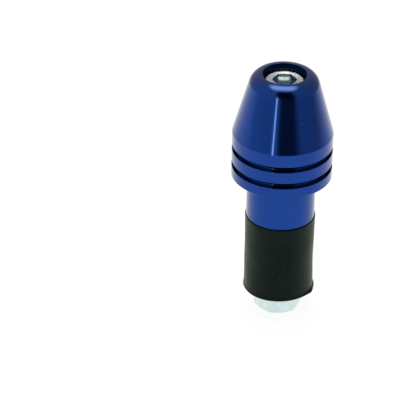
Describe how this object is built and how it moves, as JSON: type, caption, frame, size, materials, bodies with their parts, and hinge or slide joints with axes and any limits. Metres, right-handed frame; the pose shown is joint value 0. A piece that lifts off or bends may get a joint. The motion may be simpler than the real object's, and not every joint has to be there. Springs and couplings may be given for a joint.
{
  "type": "bar end weight",
  "caption": "Turned handlebar end weight with a tapered nose and grooved collar; a socket screw and nut squeeze its rubber sleeve so that it grips inside the bar.",
  "frame": {"origin": "on the axis, in the plane of the collar's underside, which meets the end of the bar", "axes": "+Z along the axis, outboard, out through the nose; the plug, sleeve and nut point to -Z"},
  "size_m": [0.0242, 0.0242, 0.0637],
  "materials": {
    "blue_anodised": "bright blue anodised, fine turned",
    "black_rubber": "matt black moulded rubber",
    "zinc_screw": "bright zinc plate",
    "zinc_nut": "pale blue zinc plate"
  },
  "bodies": {
    "weight": {"weight_body": "blue_anodised", "expander_sleeve": "black_rubber"},
    "screw": {"socket_screw": "zinc_screw"},
    "nut": {"hex_nut": "zinc_nut"}
  },
  "joints": [
    {"name": "screw_turn", "type": "hinge", "parent": "weight", "child": "screw", "pos_m": [0, 0, 0.0196], "axis": [0, 0, -1], "range_deg": [0, 1440]},
    {"name": "nut_draw", "type": "slide", "parent": "weight", "child": "nut", "axis": [0, 0, 1], "range_m": [0, 0.004], "deforming": ["expander_sleeve"]}
  ],
  "couplings": [
    {"joint": "nut_draw", "follows": "screw_turn", "m_per_rad": 0.00015915}
  ]
}
